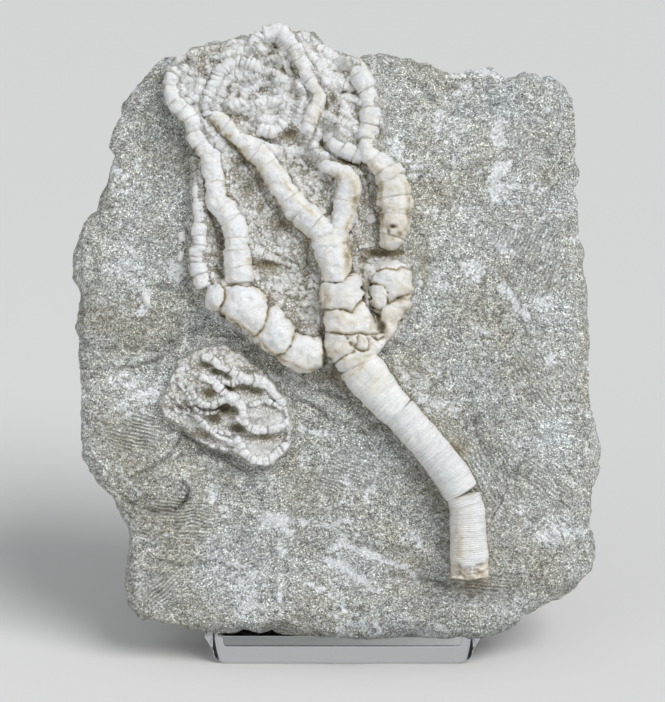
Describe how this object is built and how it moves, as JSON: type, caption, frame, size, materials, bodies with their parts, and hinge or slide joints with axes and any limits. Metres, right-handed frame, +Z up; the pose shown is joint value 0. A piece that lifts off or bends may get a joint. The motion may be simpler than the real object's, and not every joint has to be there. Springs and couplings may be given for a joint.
{
  "type": "crinoid fossil",
  "caption": "Stone slab with a large crinoid in high relief and a second small crown, leaning back on a clear acrylic stand.",
  "frame": {"origin": "middle of the stand's underside, on the surface that it stands on", "axes": "+Z up; the slab's carved face looks towards -Y and leans back 15 degrees; +X is to the right as seen from the front"},
  "size_m": [0.1439, 0.0685, 0.1687],
  "materials": {
    "stone": "rough grainy siltstone",
    "calcite": "smooth matt fossil calcite",
    "acrylic": "clear polished acrylic"
  },
  "bodies": {
    "root": {"matrix_slab": "stone", "stem_lower": "calcite", "stem_middle": "calcite", "stem_upper": "calcite", "cup": "calcite", "arm_centre": "calcite", "arm_centre_left": "calcite", "arm_centre_curl": "calcite", "arm_centre_right": "calcite", "arm_coil_upper": "calcite", "arm_coil_lower": "calcite", "arm_crown_loop": "calcite", "arm_loop_left": "calcite", "arm_left_base": "calcite", "arm_left_main": "calcite", "arm_left_tip": "calcite", "arm_left_side": "calcite", "arm_left_outer": "calcite", "arm_right_base": "calcite", "arm_right_outer": "calcite", "arm_right_side": "calcite", "small_crown": "calcite", "stand_base": "acrylic", "stand_fin_left": "acrylic", "stand_fin_right": "acrylic"}
  },
  "joints": []
}
